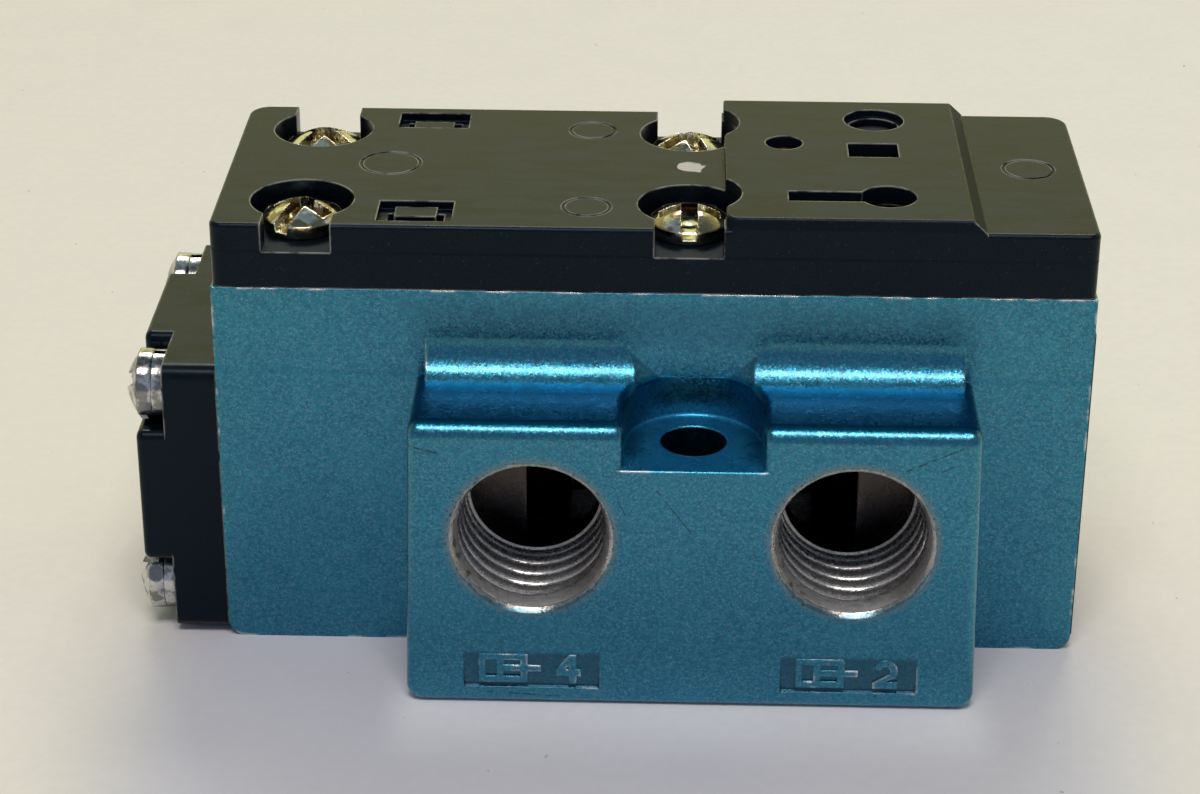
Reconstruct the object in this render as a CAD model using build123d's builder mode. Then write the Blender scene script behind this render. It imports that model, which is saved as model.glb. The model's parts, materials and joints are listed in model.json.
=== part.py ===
from build123d import *
import os

# Pilot-operated 5/2 solenoid valve with two threaded cylinder ports in front.
# Millimetres. +X runs along the spool axis towards the pilot piston, -Y towards the
# cylinder ports and +Z up. The origin is the centre of the body's flat bottom face.

# --- Body casting -----------------------------------------------------------------------
body_length = 77.0
body_width = 29.0
body_height = 35.0
body_bottom_radius = 1.5

valve_centre_x = 3.75  # the ports, the boss and the mounting holes are centred here

boss_height = 27.0
boss_reach = 25.54  # from the middle plane to the foot of the boss's front face
boss_foot_length = 50.15
boss_front_draft = 0.88  # how far the front face leans back over the boss height
boss_end_draft = 0.6
boss_top_radius = 1.5
boss_corner_radius = 0.9
boss_root_radius = 3.5

port_spacing = 27.86
port_z = 16.4
port_wall_radius = 6.85  # major diameter of a 1/4-18 pipe thread
port_mouth_bevel = 0.35
port_mouth_angle = 40
port_floor_y = -13.5
port_slot_floor_y = -10.3
port_slot_z = (12.2, 20.6)
port_throat_floor_y = -5.5
port_throat_z = (12.2, 18.0)

mount_hole_radius = 2.9
mount_hole_reach = 18.9  # from the middle plane
mount_ledge_z = 23.0
mount_pocket_radius = 6.0
mount_pocket_back_y = -13.75
pocket_flare_angle = 35
pocket_rim_radius = 0.8
lug_radius = 5.6

label_width = 11.9
label_bottom_z = 1.72
label_top_z = 5.3
label_depth = 0.35

# --- Spool train, all on one axis along X ------------------------------------------------
spool_z = 14.1
sleeve_bore_radius = 8.02
sleeve_radius = 8.0
sleeve_start_x = -22.5
sleeve_end_x = 29.5
spool_bore_radius = 5.0
spool_radius = 4.98
spool_neck_radius = 3.2
spool_stroke = 4.4
port_pitch = 9.0  # exhaust, cylinder, supply, cylinder, exhaust along the sleeve
port_window = 2.0
land_overlap = 0.15
guide_land_length = 3.6
annulus_width = 4.4
annulus_radius = 7.0
piston_bore_radius = 7.6
piston_radius = 7.56
bottom_port_radius = 3.0
bottom_seat_radius = 5.0
bottom_seat_depth = 1.0

# --- Pilot chamber in the top of the body ------------------------------------------------
pocket_floor_z = 24.5
pocket_half_width = 12.2
coil_pocket = (-26.0, -1.5)
pilot_pocket = (8.0, 34.5)
tube_slot_half_width = 4.9
coil_z = 31.9
pilot_top_z = 36.4
channel_z = 28.0  # pilot output channel
feed_hole_x = 5.25  # supply air up to the pilot valve
cover_thread_floor_z = 27.0
end_thread_depth = 9.0
plate_thread_depth = 7.0
cover_gasket_depth = 0.9

# --- Cover -------------------------------------------------------------------------------
cover_top_z = 41.0
cover_roof_z = 39.2
block_top_z = 42.2
block_roof_z = 40.4
screw_ledge_z = 38.4
cover_screw_x = (-30.9, 3.1)
cover_screw_y = 8.6
screw_recess_radius = 4.55
notch_width = 6.0
override_x, override_y = 20.1, 9.55
keyhole_x, keyhole_y = 20.4, -9.15
lens_x, lens_y = 11.65, 3.5

# --- Ends --------------------------------------------------------------------------------
end_screw_y = 10.8
end_screw_z = (4.35, 23.85)
plate_screw_y = 10.5
plate_screw_offset_z = 8.5
plate_seat_x = 37.2
plate_outer_x = 38.8
gasket_thickness = 0.3

# --- Fasteners ---------------------------------------------------------------------------
machine_screw_radius = 1.75
tapped_clearance = 0.03
small_screw_radius = 1.4

port_a_x = valve_centre_x - port_spacing / 2
port_b_x = valve_centre_x + port_spacing / 2
body_end_x = body_length / 2
body_side_y = body_width / 2
exhaust_offset = 2 * port_pitch
cut = Mode.SUBTRACT

os.makedirs("parts", exist_ok=True)


def save(builder, name):
    """Labels a finished piece and writes it as its own STEP file."""
    builder.part.label = name
    export_step(builder.part, f"parts/{name}.step")


def rod_x(radius, x_start, x_end, y=0.0, z=spool_z, mode=Mode.ADD):
    """A round bar along X, on the spool axis unless another centre is given."""
    with Locations(((x_start + x_end) / 2, y, z)):
        Cylinder(radius, x_end - x_start, rotation=(0, 90, 0), mode=mode)


def rod_y(radius, y_start, y_end, x, z, mode=Mode.ADD):
    """A round bar along Y."""
    with Locations((x, (y_start + y_end) / 2, z)):
        Cylinder(radius, y_end - y_start, rotation=(90, 0, 0), mode=mode)


def rod_z(radius, z_start, z_end, x, y, mode=Mode.ADD):
    """A round bar along Z."""
    with Locations((x, y, (z_start + z_end) / 2)):
        Cylinder(radius, z_end - z_start, mode=mode)


def block(x_range, y_range, z_range, mode=Mode.ADD):
    """A box between three pairs of limits."""
    centre = Vector(*(sum(pair) / 2 for pair in (x_range, y_range, z_range)))
    with Locations(centre):
        Box(
            x_range[1] - x_range[0],
            y_range[1] - y_range[0],
            z_range[1] - z_range[0],
            mode=mode,
        )


def seal_ring(outer, inner, thickness, edge_radius):
    """A rubber ring centred on the origin, round the Z axis, with rounded rims."""
    with BuildPart() as ring:
        Cylinder(outer, thickness)
        Cylinder(inner, thickness, mode=cut)
        fillet(ring.edges().filter_by(GeomType.CIRCLE), edge_radius)
    return ring.part


def on_spool_axis(x):
    """The place x along the spool axis, for a piece drawn round the Z axis."""
    return Location((x, 0, spool_z), (0, 90, 0))


def on_coil_axis(x):
    """The place x along the coil axis, for a piece drawn round the Z axis."""
    return Location((x, 0, coil_z), (0, 90, 0))


def pan_head_screw(head_radius, head_height, shank_radius, length, slotted):
    """A recessed pan head screw with its underside at the origin and its shank down -Z."""
    drive_width = 1.05
    arm_length = 1.15 * head_radius
    with BuildPart() as screw:
        Cylinder(head_radius, head_height, align=(Align.CENTER, Align.CENTER, Align.MIN))
        fillet(screw.edges().group_by(Axis.Z)[-1], 0.42 * head_height)
        with Locations((0, 0, head_height)):
            Box(arm_length, drive_width, 1.4 * head_height, mode=cut)
            Box(drive_width, arm_length, 1.4 * head_height, mode=cut)
            if slotted:
                Box(3 * head_radius, drive_width, 0.9 * head_height, mode=cut)
        rod_z(shank_radius, -length, 0, 0, 0)
        chamfer(screw.edges().group_by(Axis.Z)[0], 0.35)
    return screw.part


def coil_spring(mean_radius, wire_radius, height, turns):
    """A helical spring standing on the origin, overall height included."""
    rise = height - 2 * wire_radius
    with BuildPart() as spring:
        with BuildLine():
            wire = Helix(pitch=rise / turns, height=rise, radius=mean_radius)
        with BuildSketch(Plane(origin=wire @ 0, z_dir=wire % 0)):
            Circle(wire_radius)
        sweep(path=wire, is_frenet=True)
    return spring.part.moved(Location((0, 0, wire_radius)))


# --- Valve body --------------------------------------------------------------------------
with BuildPart() as boss:
    with BuildSketch(Plane.XY):
        with Locations((valve_centre_x, 0)):
            Rectangle(boss_foot_length, boss_reach, align=(Align.CENTER, Align.MAX))
    with BuildSketch(Plane.XY.offset(boss_height)):
        with Locations((valve_centre_x, 0)):
            Rectangle(
                boss_foot_length - 2 * boss_end_draft,
                boss_reach - boss_front_draft,
                align=(Align.CENTER, Align.MAX),
            )
    loft()
    bottom_ends = boss.edges().filter_by(Axis.Y).group_by(Axis.Z)[0]
    fillet(bottom_ends, body_bottom_radius)
    top_edges = boss.faces().sort_by(Axis.Z)[-1].edges()
    fillet(top_edges.sort_by(Axis.Y)[0], boss_top_radius)
    end_tops = boss.faces().sort_by(Axis.Z)[-1].edges().filter_by(Axis.Y)
    fillet(end_tops, boss_corner_radius)

# Room that widens upwards above the mounting pocket, in front of the body's own face
pocket_centre_y = mount_pocket_back_y - mount_pocket_radius
with BuildPart() as pocket_flare:
    with BuildSketch(Plane.XY.offset(boss_height)):
        with Locations((valve_centre_x, pocket_centre_y)):
            Circle(mount_pocket_radius)
    extrude(amount=boss_root_radius + 0.1, taper=-pocket_flare_angle)
    block((-body_end_x, body_end_x), (-body_side_y, 0), (boss_height - 1, body_height), cut)

with BuildPart() as valve_body:
    Box(
        body_length,
        body_width,
        body_height,
        align=(Align.CENTER, Align.CENTER, Align.MIN),
    )
    fillet(valve_body.edges().filter_by(Axis.Y).group_by(Axis.Z)[0], body_bottom_radius)
    add(boss.part)
    # Concave blend where the top of the boss meets the front of the body
    cove_reach = body_side_y + boss_root_radius
    cove_end = valve_centre_x - boss_foot_length / 2 + boss_end_draft + boss_corner_radius
    with BuildSketch(Plane.YZ.offset(cove_end)):
        with BuildLine():
            Line((-cove_reach, boss_height), (1 - body_side_y, boss_height))
            Line((1 - body_side_y, boss_height), (1 - body_side_y, boss_height + boss_root_radius))
            Line(
                (1 - body_side_y, boss_height + boss_root_radius),
                (-body_side_y, boss_height + boss_root_radius),
            )
            RadiusArc(
                (-body_side_y, boss_height + boss_root_radius),
                (-cove_reach, boss_height),
                boss_root_radius,
            )
        make_face()
    extrude(amount=2 * (valve_centre_x - cove_end))
    # Pocket round the front mounting hole, open to the front
    with BuildSketch(Plane.XY.offset(mount_ledge_z)):
        with Locations((valve_centre_x, pocket_centre_y)):
            Circle(mount_pocket_radius)
            Rectangle(2 * mount_pocket_radius, boss_reach, align=(Align.CENTER, Align.MAX))
    extrude(amount=boss_height - mount_ledge_z, mode=cut)
    add(pocket_flare.part, mode=cut)
    # Soft rims on the pocket's front corners and along the top of the boss
    mouth = valve_body.edges().filter_by(Axis.Z, reverse=True)
    mouth = mouth.filter_by_position(
        Axis.X, valve_centre_x - mount_pocket_radius - 0.01, valve_centre_x + mount_pocket_radius + 0.01
    )
    mouth = mouth.filter_by_position(Axis.Y, -boss_reach, -body_side_y - boss_root_radius)
    fillet(mouth.filter_by_position(Axis.Z, mount_ledge_z + 1, boss_height + 0.01), pocket_rim_radius)
    # Lug with the rear mounting hole
    with BuildSketch(Plane.XY):
        with Locations((valve_centre_x, mount_hole_reach)):
            Circle(lug_radius)
        with Locations((valve_centre_x, body_side_y - 1)):
            Rectangle(
                2 * lug_radius,
                mount_hole_reach - body_side_y + 1,
                align=(Align.CENTER, Align.MIN),
            )
    extrude(amount=mount_ledge_z)
    for side in (-1, 1):
        rod_z(mount_hole_radius, -1, mount_ledge_z + 1, valve_centre_x, side * mount_hole_reach, cut)
    # Cylinder ports: threaded wall, flared mouth, and a slot from the floor to the bore
    for port_x, inward in ((port_a_x, 1), (port_b_x, -1)):
        face_y = -boss_reach + boss_front_draft * port_z / boss_height
        rod_y(port_wall_radius, -boss_reach - 1, port_floor_y, port_x, port_z, cut)
        with BuildSketch(Plane.XZ.offset(-face_y - port_mouth_bevel)):
            with Locations((port_x, port_z)):
                Circle(port_wall_radius)
        extrude(amount=1, taper=-port_mouth_angle, mode=cut)
        outer_x = port_x - 0.9 * inward
        inner_x = port_x + 6.3 * inward
        slot_x = sorted((outer_x, inner_x))
        block(slot_x, (port_floor_y - 1, port_slot_floor_y), port_slot_z, cut)
        annulus_x = valve_centre_x - port_pitch * inward
        throat_x = (annulus_x - 2.0, annulus_x + 2.0)
        block(throat_x, (port_slot_floor_y - 0.5, port_throat_floor_y), port_throat_z, cut)
    # Label windows under the ports, deepest at their lower edge
    for port_x in (port_a_x, port_b_x):
        label_face = Plane.YZ.offset(port_x - label_width / 2)
        with BuildSketch(label_face):
            with BuildLine():
                Polyline(
                    (-boss_reach - 1, label_bottom_z),
                    (-boss_reach + label_depth, label_bottom_z),
                    (-boss_reach + boss_front_draft * label_top_z / boss_height, label_top_z),
                    (-boss_reach - 1, label_top_z),
                    close=True,
                )
            make_face()
        extrude(amount=label_width, mode=cut)
    # Bore for the sleeve and the smaller bore for the pilot piston
    rod_x(sleeve_bore_radius, -body_end_x - 1, sleeve_end_x, mode=cut)
    rod_x(piston_bore_radius, sleeve_end_x - 1, body_end_x + 1, mode=cut)
    rod_x(sleeve_bore_radius + 0.6, sleeve_start_x - 1, sleeve_start_x, mode=cut)
    # Supply and exhaust ports in the bottom, each with a seat for its face seal
    for offset in (-exhaust_offset, 0, exhaust_offset):
        rod_z(bottom_port_radius, -1, spool_z - 5, valve_centre_x + offset, 0, cut)
        rod_z(bottom_seat_radius, -1, bottom_seat_depth, valve_centre_x + offset, 0, cut)
    # Pockets for the coil and the pilot valve, joined by a slot for the armature tube
    for pocket_x in (coil_pocket, pilot_pocket):
        with BuildSketch(Plane.XY.offset(pocket_floor_z)):
            with Locations((sum(pocket_x) / 2, 0)):
                RectangleRounded(pocket_x[1] - pocket_x[0], 2 * pocket_half_width, 2.0)
        extrude(amount=body_height, mode=cut)
    block(
        (coil_pocket[1] - 1, pilot_pocket[0] + 1),
        (-tube_slot_half_width, tube_slot_half_width),
        (pocket_floor_z, body_height + 1),
        cut,
    )
    # Air passages: supply up to the pilot, and pilot out to the end plate
    rod_z(0.7, spool_z + annulus_radius, pocket_floor_z + 1, feed_hole_x, 0, cut)
    rod_x(0.8, pilot_pocket[1] - 1, body_end_x + 1, z=channel_z, mode=cut)
    # Groove for the cover gasket
    with BuildSketch(Plane.XY.offset(body_height)):
        RectangleRounded(body_length - 2.0, body_width - 1.4, 2.0)
        RectangleRounded(body_length - 4.4, body_width - 3.8, 1.4, mode=cut)
    extrude(amount=-cover_gasket_depth, mode=cut)
    # Tapped holes for the cover screws
    for screw_x in cover_screw_x:
        for side in (-1, 1):
            rod_z(
                machine_screw_radius + tapped_clearance,
                cover_thread_floor_z,
                body_height + 1,
                screw_x,
                side * cover_screw_y,
                cut,
            )
    # Tapped holes for the left cap's screws
    for screw_z in end_screw_z:
        for side in (-1, 1):
            rod_x(
                machine_screw_radius + tapped_clearance,
                -body_end_x - 1,
                -body_end_x + end_thread_depth,
                side * end_screw_y,
                screw_z,
                cut,
            )
    # Seat and tapped holes for the right end plate
    block((plate_seat_x, body_end_x + 1), (-13.5, 13.5), (0.8, 31.4), cut)
    for rise in (-plate_screw_offset_z, plate_screw_offset_z):
        for side in (-1, 1):
            rod_x(
                small_screw_radius + tapped_clearance,
                plate_seat_x - plate_thread_depth,
                plate_seat_x + 1,
                side * plate_screw_y,
                spool_z + rise,
                cut,
            )
save(valve_body, "valve_body")

# --- Spool train ------------------------------------------------------------------------
port_stations = [valve_centre_x + port_pitch * i for i in (-2, -1, 0, 1, 2)]
seal_stations = [port_stations[0] - port_pitch / 2]
seal_stations += [station + port_pitch / 2 for station in port_stations]

with BuildPart() as spool_sleeve:
    rod_x(sleeve_radius, sleeve_start_x, sleeve_end_x)
    chamfer(spool_sleeve.edges(), 0.3)
    rod_x(spool_bore_radius, sleeve_start_x - 1, sleeve_end_x + 1, mode=cut)
    for station in port_stations:
        with BuildSketch(Plane.YZ.offset(station - annulus_width / 2)):
            with Locations((0, spool_z)):
                Circle(sleeve_radius + 1)
                Circle(annulus_radius, mode=cut)
        extrude(amount=annulus_width, mode=cut)
        spokes = Plane(origin=(station, 0, spool_z), x_dir=(0, 1, 0), z_dir=(1, 0, 0))
        with Locations(spokes):
            with PolarLocations(0, 8, start_angle=22.5):
                Cylinder(
                    port_window / 2,
                    sleeve_radius + 1,
                    rotation=(0, 90, 0),
                    align=(Align.CENTER, Align.CENTER, Align.MIN),
                    mode=cut,
                )
    for station in seal_stations:
        with BuildSketch(Plane.YZ.offset(station - 1.0)):
            with Locations((0, spool_z)):
                Circle(sleeve_radius + 1)
                Circle(sleeve_radius - 1.3, mode=cut)
        extrude(amount=2.0, mode=cut)
save(spool_sleeve, "spool_sleeve")

with BuildPart() as sleeve_o_rings:
    for station in seal_stations:
        sleeve_ring = seal_ring(sleeve_bore_radius - 0.01, sleeve_radius - 1.28, 1.7, 0.5)
        add(sleeve_ring.moved(on_spool_axis(station)))
save(sleeve_o_rings, "sleeve_o_rings")

with BuildPart() as sleeve_retaining_ring:
    rod_x(sleeve_bore_radius + 0.55, sleeve_start_x - 0.95, sleeve_start_x - 0.05)
    rod_x(sleeve_bore_radius - 1.2, sleeve_start_x - 2, sleeve_start_x + 1, mode=cut)
    gap_x = (sleeve_start_x - 2, sleeve_start_x + 1)
    block(gap_x, (-1.2, 1.2), (spool_z + 4, spool_z + 12), cut)
save(sleeve_retaining_ring, "sleeve_retaining_ring")

# The spool is drawn at rest, pushed towards +X by the return spring
spool_centre_x = valve_centre_x + spool_stroke / 2
inner_land_length = port_window + 2 * land_overlap
guide_start = exhaust_offset + port_window / 2 + spool_stroke / 2 + land_overlap
guide_end = guide_start + guide_land_length
spool_left_x = spool_centre_x - guide_end
spool_right_x = spool_centre_x + guide_end

with BuildPart() as spool:
    rod_x(spool_neck_radius, spool_left_x, spool_right_x)
    for side in (-1, 1):
        land_x = spool_centre_x + side * port_pitch
        rod_x(spool_radius, land_x - inner_land_length / 2, land_x + inner_land_length / 2)
        guide_x = sorted((spool_centre_x + side * guide_start, spool_centre_x + side * guide_end))
        rod_x(spool_radius, *guide_x)
    ends = spool.faces().filter_by(Axis.X)
    chamfer(ends.sort_by(Axis.X)[0].edges() + ends.sort_by(Axis.X)[-1].edges(), 0.3)
save(spool, "spool")

seat_disc_x = (-26.0, -24.0)
spring_inner_radius = 4.6
with BuildPart() as spring_seat:
    rod_x(4.85, seat_disc_x[1] - 0.5, spool_left_x - 0.01)
    rod_x(7.5, *seat_disc_x)
    rod_x(spring_inner_radius - 0.2, seat_disc_x[0] - 1.6, seat_disc_x[0])
    chamfer(spring_seat.edges().group_by(Axis.X)[0], 0.4)
save(spring_seat, "spring_seat")

spring_cup_x = -43.0
return_spring_length = seat_disc_x[0] - spring_cup_x - 0.05
with BuildPart() as return_spring:
    spring_coil = coil_spring(spring_inner_radius + 0.6, 0.6, return_spring_length, 6.5)
    add(spring_coil.moved(on_spool_axis(spring_cup_x + 0.02)))
save(return_spring, "return_spring")

piston_disc_x = (34.4, 36.8)
with BuildPart() as pilot_piston:
    rod_x(4.85, spool_right_x + 0.01, piston_disc_x[0] + 0.5)
    rod_x(piston_radius, *piston_disc_x)
    rod_x(3.0, piston_disc_x[1], plate_seat_x - 0.05)
    with BuildSketch(Plane.YZ.offset(piston_disc_x[0] + 0.6)):
        with Locations((0, spool_z)):
            Circle(piston_radius + 1)
            Circle(piston_radius - 1.36, mode=cut)
    extrude(amount=1.2, mode=cut)
save(pilot_piston, "pilot_piston")

with BuildPart() as piston_seal:
    piston_ring = seal_ring(piston_bore_radius - 0.01, piston_radius - 1.34, 1.1, 0.35)
    add(piston_ring.moved(on_spool_axis(piston_disc_x[0] + 1.2)))
save(piston_seal, "piston_seal")

# --- Left end cap -----------------------------------------------------------------------
cap_plate_x = -43.4
cap_face_x = -46.0
cap_low_z = 0.45
cap_high_z = 27.0
cap_half_width = 14.4
cap_tongue_half_width = 7.1
cap_band_z = (7.6, 20.6)

with BuildPart() as left_end_cap:
    block((cap_plate_x, -body_end_x), (-cap_half_width, cap_half_width), (cap_low_z, cap_high_z))
    fillet(left_end_cap.edges().filter_by(Axis.X), 1.3)
    with BuildSketch(Plane.YZ.offset(cap_face_x)):
        with Locations((0, (cap_low_z + cap_high_z) / 2)):
            RectangleRounded(2 * cap_tongue_half_width, cap_high_z - cap_low_z, 0.8)
        with Locations((0, sum(cap_band_z) / 2)):
            RectangleRounded(2 * cap_half_width, cap_band_z[1] - cap_band_z[0], 0.8)
    extrude(amount=cap_plate_x - cap_face_x + 1)
    fillet(left_end_cap.edges().group_by(Axis.X)[0], 0.6)
    rod_x(spring_inner_radius + 2.0, spring_cup_x, -body_end_x + 1, mode=cut)
    with BuildSketch(Plane.YZ.offset(-body_end_x)):
        with Locations((0, spool_z)):
            Circle(10.4)
            Circle(8.9, mode=cut)
    extrude(amount=-1.0, mode=cut)
    for screw_z in end_screw_z:
        for side in (-1, 1):
            rod_x(1.9, cap_face_x, -body_end_x + 1, side * end_screw_y, screw_z, cut)
save(left_end_cap, "left_end_cap")

with BuildPart() as left_cap_o_ring:
    add(seal_ring(10.35, 8.95, 0.96, 0.3).moved(on_spool_axis(-body_end_x - 0.5)))
save(left_cap_o_ring, "left_cap_o_ring")

washer_thickness = 1.05
with BuildPart() as left_cap_lock_washers:
    for screw_z in end_screw_z:
        for side in (-1, 1):
            centre = (side * end_screw_y, screw_z)
            rod_x(3.1, cap_plate_x - washer_thickness, cap_plate_x, *centre)
            rod_x(1.85, cap_plate_x - 2, cap_plate_x + 1, *centre, cut)
            slit_y = (centre[0] - 0.35, centre[0] + 0.35)
            block((cap_plate_x - 2, cap_plate_x + 1), slit_y, (screw_z, screw_z + 4), cut)
save(left_cap_lock_washers, "left_cap_lock_washers")

head_underside_x = cap_plate_x - washer_thickness
cap_screw = pan_head_screw(3.2, 2.6, machine_screw_radius, 14.0, False)
with BuildPart() as left_cap_screws:
    turn = 20
    for screw_z in end_screw_z:
        for side in (-1, 1):
            turn += 37
            seat = Plane(origin=(head_underside_x, side * end_screw_y, screw_z), z_dir=(-1, 0, 0))
            add(cap_screw.moved(seat.location * Location((0, 0, 0), (0, 0, turn))))
save(left_cap_screws, "left_cap_screws")

# --- Right end plate --------------------------------------------------------------------
plate_y = (-13.45, 13.45)
plate_z = (0.85, 31.35)
plate_inner_x = plate_seat_x + gasket_thickness
plate_screws_yz = [
    (side * plate_screw_y, spool_z + rise)
    for rise in (-plate_screw_offset_z, plate_screw_offset_z)
    for side in (-1, 1)
]

with BuildPart() as right_end_plate:
    block((plate_inner_x, plate_outer_x), plate_y, plate_z)
    fillet(right_end_plate.edges().group_by(Axis.X)[-1], 0.25)
    # Channel that leads pilot air down to the piston
    block((plate_inner_x - 1, plate_inner_x + 0.5), (-1.2, 1.2), (spool_z, 29.2), cut)
    for y, z in plate_screws_yz:
        rod_x(small_screw_radius + 0.1, plate_inner_x - 1, plate_outer_x + 1, y, z, cut)
        with BuildSketch(Plane.YZ.offset(plate_outer_x)):
            with Locations((y, z)):
                Circle(2.6)
        extrude(amount=-1.2, taper=45, mode=cut)
save(right_end_plate, "right_end_plate")

with BuildPart() as end_plate_gasket:
    block((plate_seat_x, plate_inner_x), plate_y, plate_z)
    rod_x(piston_bore_radius, plate_seat_x - 1, plate_inner_x + 1, mode=cut)
    block((plate_seat_x - 1, plate_inner_x + 1), (-1.2, 1.2), (spool_z, 29.2), cut)
    for y, z in plate_screws_yz:
        rod_x(small_screw_radius + 0.1, plate_seat_x - 1, plate_inner_x + 1, y, z, cut)
save(end_plate_gasket, "end_plate_gasket")

flat_head_radius = 2.5
with BuildPart() as flat_screw:
    with BuildSketch(Plane.XZ):
        with BuildLine():
            Polyline(
                (0, 0),
                (flat_head_radius, 0),
                (small_screw_radius, -1.1),
                (small_screw_radius, -6.6),
                (0, -6.9),
                close=True,
            )
        make_face()
    revolve(axis=Axis.Z)
    Box(flat_head_radius, 0.6, 1.4, mode=cut)
    Box(0.6, flat_head_radius, 1.4, mode=cut)

with BuildPart() as end_plate_screws:
    for turn, (y, z) in enumerate(plate_screws_yz):
        seat = Plane(origin=(plate_outer_x - 0.05, y, z), z_dir=(1, 0, 0))
        add(flat_screw.part.moved(seat.location * Location((0, 0, 0), (0, 0, 25 * turn + 10))))
save(end_plate_screws, "end_plate_screws")

# --- Pilot cover ------------------------------------------------------------------------
window_x = (-24.0, -17.5)
window_y = ((-13.3, -8.7), (9.2, 13.0))
window_step_z = 40.2
block_x = (6.25, 27.4)
block_foot_x = 28.7
# Shallow ring marks that the moulding tool's pins leave in the top: x, y, radius
pin_marks = ((-23.9, 0.2, 2.8), (-5.9, 9.1, 2.2), (-5.9, -9.5, 2.2), (33.6, 0.8, 2.4))
pin_mark_width = 0.28
pin_mark_depth = 0.12

with BuildPart() as pilot_cover:
    with BuildSketch(Plane.XY.offset(body_height)):
        Rectangle(body_length - 0.2, body_width)
    extrude(amount=cover_top_z - body_height)
    corners = pilot_cover.edges().filter_by(Axis.Z)
    fillet(corners.group_by(Axis.Y)[0], 1.0)
    fillet(corners.group_by(Axis.Y)[-1], 2.0)
    fillet(pilot_cover.edges().group_by(Axis.Z)[-1], 0.4)
    # Raised block with a sloping right flank
    with BuildSketch(Plane.XZ.offset(-body_side_y)):
        with BuildLine():
            Polyline(
                (block_x[0], cover_top_z - 1),
                (block_x[0], block_top_z),
                (block_x[1], block_top_z),
                (block_foot_x, cover_top_z),
                (block_foot_x, cover_top_z - 1),
                close=True,
            )
        make_face()
    extrude(amount=body_width)
    block_back = pilot_cover.edges().filter_by(Axis.Z).filter_by_position(
        Axis.Z, cover_top_z, block_top_z
    )
    fillet(block_back.sort_by(Axis.Y)[-2:].sort_by(Axis.X)[0], 1.1)
    fillet(pilot_cover.faces().sort_by(Axis.Z)[-1].edges(), 0.3)
    # Hollow inside
    block((-24.9, -2.6), (-12.0, 12.0), (body_height - 1, cover_roof_z), cut)
    block((8.6, 34.0), (-12.0, 12.0), (body_height - 1, cover_roof_z), cut)
    block((-3, 9), (-4.6, 4.6), (body_height - 1, cover_roof_z), cut)
    block((9.0, 26.0), (-12.0, 12.0), (body_height - 1, block_roof_z), cut)
    # Recesses for the cover screws, each with a notch to the nearer side
    for screw_x in cover_screw_x:
        for side in (-1, 1):
            screw_y = side * cover_screw_y
            rod_z(screw_recess_radius, screw_ledge_z, block_top_z + 1, screw_x, screw_y, cut)
            notch_y = sorted((screw_y, side * (body_side_y + 1)))
            notch_x = (screw_x - notch_width / 2, screw_x + notch_width / 2)
            block(notch_x, notch_y, (screw_ledge_z, block_top_z + 1), cut)
            rod_z(machine_screw_radius + 0.15, body_height - 1, cover_top_z, screw_x, screw_y, cut)
    # Latch windows over the coil cradle's hooks
    for low_y, high_y in window_y:
        block(window_x, (low_y, high_y), (window_step_z, cover_top_z + 1), cut)
        middle_y = (low_y + high_y) / 2
        block((-23.2, -18.3), (middle_y - 1.2, middle_y + 1.2), (cover_roof_z - 1, cover_top_z), cut)
    with BuildSketch(Plane.XY.offset(cover_top_z)):
        for mark_x, mark_y, mark_radius in pin_marks:
            with Locations((mark_x, mark_y)):
                Circle(mark_radius)
                Circle(mark_radius - pin_mark_width, mode=cut)
    extrude(amount=-pin_mark_depth, mode=cut)
    # Openings in the raised block
    rod_z(2.76, block_top_z - 0.7, block_top_z + 1, override_x, override_y, cut)
    rod_z(3.4, pilot_top_z + 0.1, block_roof_z + 0.1, override_x, override_y)
    rod_z(2.3, 36.0, block_top_z, override_x, override_y, cut)
    rod_z(1.69, cover_roof_z, block_top_z + 1, lens_x, lens_y, cut)
    rod_z(2.47, cover_roof_z, block_top_z + 1, keyhole_x, keyhole_y, cut)
    block((11.7, keyhole_x), (-10.4, -8.1), (cover_roof_z, block_top_z + 1), cut)
    block((17.4, 21.9), (0.2, 3.6), (cover_roof_z, block_top_z + 1), cut)
save(pilot_cover, "pilot_cover")

with BuildPart() as cover_gasket:
    with BuildSketch(Plane.XY.offset(body_height - cover_gasket_depth + 0.02)):
        RectangleRounded(body_length - 2.1, body_width - 1.5, 1.95)
        RectangleRounded(body_length - 4.3, body_width - 3.7, 1.45, mode=cut)
    extrude(amount=cover_gasket_depth - 0.04)
save(cover_gasket, "cover_gasket")

cover_screw = pan_head_screw(3.43, 2.46, machine_screw_radius, 10.5, True)
screw_turns = iter((62, -38, 90, 24))
with BuildPart() as cover_screws:
    for screw_x in cover_screw_x:
        for side in (-1, 1):
            seat = Location((screw_x, side * cover_screw_y, screw_ledge_z), (0, 0, next(screw_turns)))
            add(cover_screw.moved(seat))
save(cover_screws, "cover_screws")

# --- Solenoid ---------------------------------------------------------------------------
coil_ends = (-23.2, -4.5)
flange_thickness = 1.0
tube_radius = 3.8
tube_bore_radius = 3.45
armature_radius = 3.38
armature_x = (-12.0, 5.9)
core_face_x = -12.8
seat_face_x = 6.5

with BuildPart() as coil_cradle:
    with BuildSketch(Plane.XY.offset(pocket_floor_z + 0.05)):
        with Locations((sum(coil_pocket) / 2, 0)):
            RectangleRounded(coil_pocket[1] - coil_pocket[0] - 0.8, 23.6, 2.0)
    extrude(amount=0.8)
    for side in (-1, 1):
        wall_y = sorted((side * 10.5, side * 11.5))
        block((-23.5, -4.5), wall_y, (pocket_floor_z + 0.5, 34.0))
        block((-22.6, -18.9), wall_y, (34.0, 40.7))
        hook_y = sorted((side * 9.4, side * 11.5))
        block((-22.6, -18.9), hook_y, (window_step_z + 0.05, 40.7))
save(coil_cradle, "coil_cradle")

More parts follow.
